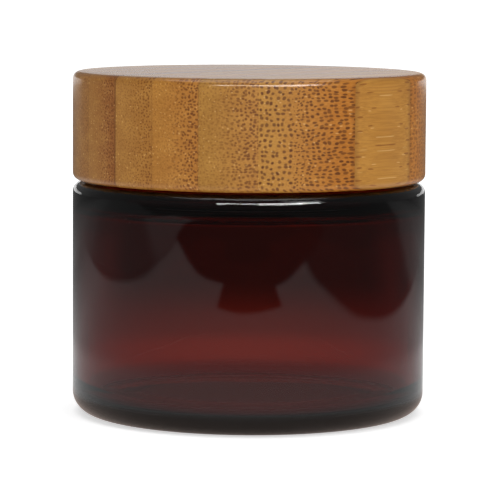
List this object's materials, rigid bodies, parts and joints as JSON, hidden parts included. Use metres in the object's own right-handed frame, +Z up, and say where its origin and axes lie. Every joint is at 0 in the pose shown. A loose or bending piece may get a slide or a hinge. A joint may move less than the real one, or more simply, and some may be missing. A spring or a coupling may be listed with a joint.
{
  "type": "candle jar",
  "caption": "Short straight-sided amber glass candle jar with a threaded neck, closed by a screw-on laminated bamboo lid with a plastic thread insert and a foam seal.",
  "frame": {"origin": "centre of the face that the jar stands on", "axes": "+Z up along the axis of the jar, its thread and the lid; -Y is the front"},
  "size_m": [0.07, 0.07, 0.0678],
  "materials": {
    "amber_glass": "polished dark red-brown glass",
    "bamboo": "turned end-grain bamboo laminate with a thin satin lacquer",
    "insert_plastic": "moulded black polypropylene",
    "seal_foam": "white closed-cell polyethylene foam",
    "glue": "translucent hot-melt glue"
  },
  "bodies": {
    "jar": {"glass_jar": "amber_glass"},
    "seal": {"seal_disc": "seal_foam"},
    "lid": {"threaded_insert": "insert_plastic", "glue_ring": "glue", "bamboo_strip_1": "bamboo", "bamboo_strip_2": "bamboo", "bamboo_strip_3": "bamboo", "bamboo_strip_4": "bamboo", "bamboo_strip_5": "bamboo", "bamboo_strip_6": "bamboo", "bamboo_strip_7": "bamboo", "bamboo_strip_8": "bamboo", "bamboo_strip_9": "bamboo"}
  },
  "joints": [
    {"name": "lid_lift", "type": "slide", "parent": "jar", "child": "seal", "axis": [0, 0, 1], "range_m": [0, 0.01693]},
    {"name": "lid_turn", "type": "hinge", "parent": "seal", "child": "lid", "pos_m": [0, 0, 0.05], "axis": [0, 0, 1], "range_deg": [0, 1440]}
  ],
  "couplings": [
    {"joint": "lid_lift", "follows": "lid_turn", "m_per_rad": 0.00067376}
  ]
}
